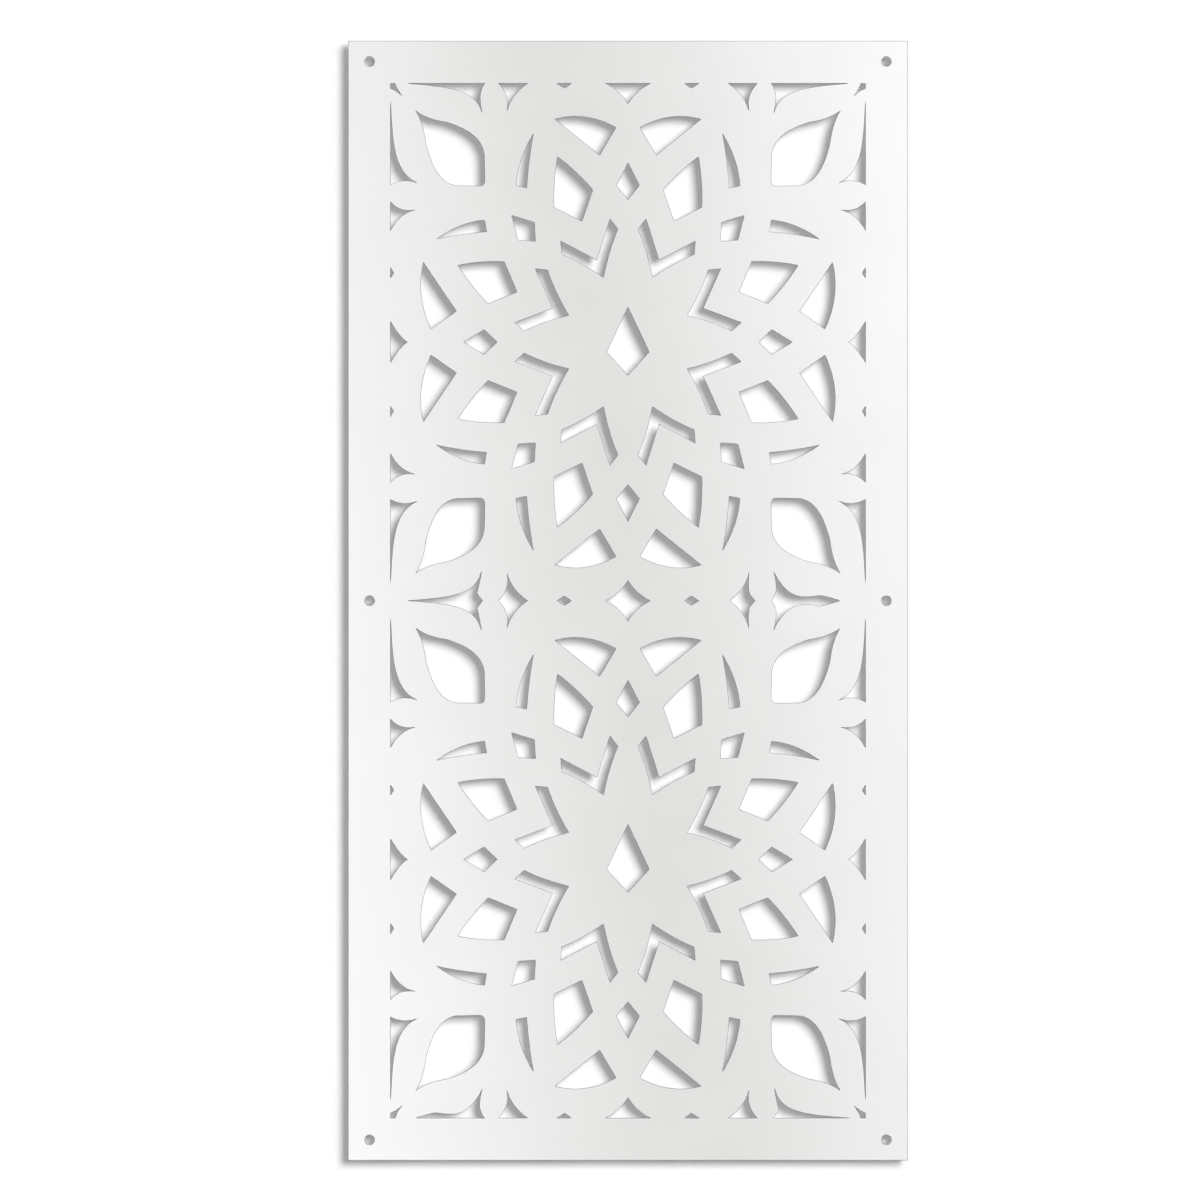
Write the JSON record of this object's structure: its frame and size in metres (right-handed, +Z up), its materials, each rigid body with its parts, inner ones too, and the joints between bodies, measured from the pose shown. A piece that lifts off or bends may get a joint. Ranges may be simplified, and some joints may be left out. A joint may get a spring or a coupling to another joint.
{
  "type": "perforated decorative panel",
  "caption": "Tall white panel pierced with a rosette and leaf pattern: a bonded composite sheet that screws to a wall through bare holes and stands clear of it on sleeves.",
  "frame": {"origin": "on the wall's plane, behind the centre of the sheet and of its screw holes", "axes": "+X to the right seen from the front, +Y into the wall, +Z up"},
  "size_m": [0.6, 0.019, 1.2],
  "materials": {
    "white_coat": "satin white coating",
    "core": "sawn plastic core",
    "rear_wash": "thin grey wash coat",
    "sleeve": "turned",
    "bond": "matte adhesive pad"
  },
  "bodies": {
    "root": {"front_skin": "white_coat", "core": "core", "rear_skin": "rear_wash", "spacer_top_left": "sleeve", "spacer_top_right": "sleeve", "spacer_middle_left": "sleeve", "spacer_middle_right": "sleeve", "spacer_bottom_left": "sleeve", "spacer_bottom_right": "sleeve", "bond_ring_top_left": "bond", "bond_ring_top_right": "bond", "bond_ring_middle_left": "bond", "bond_ring_middle_right": "bond", "bond_ring_bottom_left": "bond", "bond_ring_bottom_right": "bond"}
  },
  "joints": []
}
